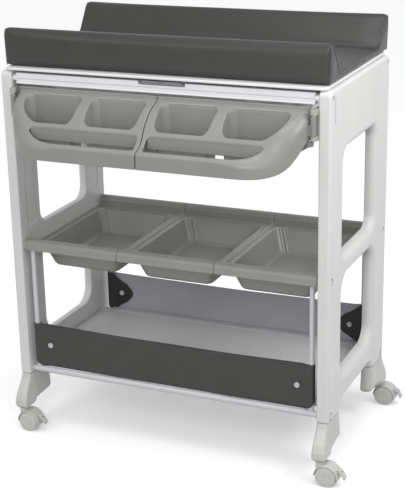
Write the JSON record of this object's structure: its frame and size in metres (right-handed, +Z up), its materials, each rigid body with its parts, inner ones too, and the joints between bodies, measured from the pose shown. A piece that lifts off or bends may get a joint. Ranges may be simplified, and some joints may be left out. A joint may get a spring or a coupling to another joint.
{
  "type": "changing table",
  "caption": "Baby changing table on braked castors with a wedge-sided mat on a hinged top over a bath, swing-out organisers, lift-off trays and a soft-sided shelf.",
  "frame": {"origin": "on the floor, under the middle of the whole object's box with every castor trailing to +X", "axes": "+Z up, +X to the right seen from the front, +Y from the organisers at the front to the back"},
  "size_m": [0.857, 0.596, 1.004],
  "materials": {
    "frame_white": "satin moulded",
    "castor_ivory": "satin moulded",
    "wheel_ivory": "satin moulded",
    "tube_white": "gloss powder coat",
    "socket_grey": "satin",
    "steel": "zinc plated",
    "organiser_grey": "satin moulded",
    "tray_grey": "satin moulded",
    "bracket_ivory": "satin",
    "board_white": "satin",
    "panel_charcoal": "coated fabric",
    "stud_grey": "satin",
    "bath_white": "gloss",
    "plug_rubber": "matt",
    "mat_charcoal": "satin coated fabric over foam",
    "latch_grey": "satin"
  },
  "bodies": {
    "frame": {"side_frame_left": "frame_white", "tube_sockets_left": "socket_grey", "frame_screws_left": "steel", "hinge_bracket_left": "bracket_ivory", "hinge_pin_left": "steel", "side_frame_right": "frame_white", "tube_sockets_right": "socket_grey", "frame_screws_right": "steel", "hinge_bracket_right": "bracket_ivory", "hinge_pin_right": "steel", "foot_front_left": "castor_ivory", "post_front_left": "tube_white", "foot_front_right": "castor_ivory", "post_front_right": "tube_white", "foot_rear_left": "castor_ivory", "post_rear_left": "tube_white", "foot_rear_right": "castor_ivory", "post_rear_right": "tube_white", "top_front_bar": "tube_white", "top_rear_bar": "tube_white", "tray_front_tube": "tube_white", "tray_rear_tube": "tube_white", "shelf_front_tube": "tube_white", "shelf_rear_tube": "tube_white", "shelf_floor": "board_white", "front_panel": "panel_charcoal", "rear_panel": "panel_charcoal", "front_panel_tabs": "panel_charcoal", "rear_panel_tabs": "panel_charcoal", "press_studs": "stud_grey", "bath": "bath_white", "bath_ledges": "frame_white", "lid_knuckles": "steel"},
    "castor_front_left": {"castor_housing_front_left": "castor_ivory", "castor_axle_front_left": "steel"},
    "wheels_front_left": {"castor_wheels_front_left": "wheel_ivory"},
    "brake_front_left": {"castor_brake_front_left": "castor_ivory"},
    "castor_front_right": {"castor_housing_front_right": "castor_ivory", "castor_axle_front_right": "steel"},
    "wheels_front_right": {"castor_wheels_front_right": "wheel_ivory"},
    "brake_front_right": {"castor_brake_front_right": "castor_ivory"},
    "castor_rear_left": {"castor_housing_rear_left": "castor_ivory", "castor_axle_rear_left": "steel"},
    "wheels_rear_left": {"castor_wheels_rear_left": "wheel_ivory"},
    "brake_rear_left": {"castor_brake_rear_left": "castor_ivory"},
    "castor_rear_right": {"castor_housing_rear_right": "castor_ivory", "castor_axle_rear_right": "steel"},
    "wheels_rear_right": {"castor_wheels_rear_right": "wheel_ivory"},
    "brake_rear_right": {"castor_brake_rear_right": "castor_ivory"},
    "tray_left": {"tray_left": "tray_grey"},
    "tray_middle": {"tray_middle": "tray_grey"},
    "tray_right": {"tray_right": "tray_grey"},
    "organiser_left": {"organiser_left": "organiser_grey"},
    "organiser_right": {"organiser_right": "organiser_grey"},
    "changing_top": {"changing_mat": "mat_charcoal", "top_board": "board_white", "lid_leaves": "steel"},
    "latch": {"latch_handle": "latch_grey"},
    "bath_plug": {"bath_plug": "plug_rubber"}
  },
  "joints": [
    {"name": "castor_swivel_front_left", "type": "hinge", "parent": "frame", "child": "castor_front_left", "pos_m": [-0.4145, -0.19, 0.06], "axis": [0, 0, 1], "continuous": true},
    {"name": "wheel_spin_front_left", "type": "hinge", "parent": "castor_front_left", "child": "wheels_front_left", "pos_m": [-0.3965, -0.19, 0.025], "axis": [0, 1, 0], "continuous": true},
    {"name": "brake_pedal_front_left", "type": "hinge", "parent": "castor_front_left", "child": "brake_front_left", "pos_m": [-0.3661, -0.19, 0.0392], "axis": [0, 1, 0], "range_deg": [0, 20]},
    {"name": "castor_swivel_front_right", "type": "hinge", "parent": "frame", "child": "castor_front_right", "pos_m": [0.3655, -0.19, 0.06], "axis": [0, 0, 1], "continuous": true},
    {"name": "wheel_spin_front_right", "type": "hinge", "parent": "castor_front_right", "child": "wheels_front_right", "pos_m": [0.3835, -0.19, 0.025], "axis": [0, 1, 0], "continuous": true},
    {"name": "brake_pedal_front_right", "type": "hinge", "parent": "castor_front_right", "child": "brake_front_right", "pos_m": [0.4139, -0.19, 0.0392], "axis": [0, 1, 0], "range_deg": [0, 20]},
    {"name": "castor_swivel_rear_left", "type": "hinge", "parent": "frame", "child": "castor_rear_left", "pos_m": [-0.4145, 0.278, 0.06], "axis": [0, 0, 1], "continuous": true},
    {"name": "wheel_spin_rear_left", "type": "hinge", "parent": "castor_rear_left", "child": "wheels_rear_left", "pos_m": [-0.3965, 0.278, 0.025], "axis": [0, 1, 0], "continuous": true},
    {"name": "brake_pedal_rear_left", "type": "hinge", "parent": "castor_rear_left", "child": "brake_rear_left", "pos_m": [-0.3661, 0.278, 0.0392], "axis": [0, 1, 0], "range_deg": [0, 20]},
    {"name": "castor_swivel_rear_right", "type": "hinge", "parent": "frame", "child": "castor_rear_right", "pos_m": [0.3655, 0.278, 0.06], "axis": [0, 0, 1], "continuous": true},
    {"name": "wheel_spin_rear_right", "type": "hinge", "parent": "castor_rear_right", "child": "wheels_rear_right", "pos_m": [0.3835, 0.278, 0.025], "axis": [0, 1, 0], "continuous": true},
    {"name": "brake_pedal_rear_right", "type": "hinge", "parent": "castor_rear_right", "child": "brake_rear_right", "pos_m": [0.4139, 0.278, 0.0392], "axis": [0, 1, 0], "range_deg": [0, 20]},
    {"name": "tray_lift_left", "type": "slide", "parent": "frame", "child": "tray_left", "axis": [0, 0, 1], "range_m": [0, 0.06]},
    {"name": "tray_lift_middle", "type": "slide", "parent": "frame", "child": "tray_middle", "axis": [0, 0, 1], "range_m": [0, 0.06]},
    {"name": "tray_lift_right", "type": "slide", "parent": "frame", "child": "tray_right", "axis": [0, 0, 1], "range_m": [0, 0.06]},
    {"name": "organiser_swing_left", "type": "hinge", "parent": "frame", "child": "organiser_left", "pos_m": [-0.3905, -0.183, 0.83], "axis": [0, 0, -1], "range_deg": [0, 90]},
    {"name": "organiser_swing_right", "type": "hinge", "parent": "frame", "child": "organiser_right", "pos_m": [0.3415, -0.183, 0.83], "axis": [0, 0, 1], "range_deg": [0, 90]},
    {"name": "top_tilt", "type": "hinge", "parent": "frame", "child": "changing_top", "pos_m": [-0.0245, 0.262, 0.902], "axis": [-1, 0, 0], "range_deg": [0, 95]},
    {"name": "latch_push", "type": "slide", "parent": "frame", "child": "latch", "axis": [0, 1, 0], "range_m": [0, 0.003], "stiffness_N_per_m": 300},
    {"name": "plug_lift", "type": "slide", "parent": "frame", "child": "bath_plug", "axis": [0, 0, 1], "range_m": [0, 0.03]}
  ]
}
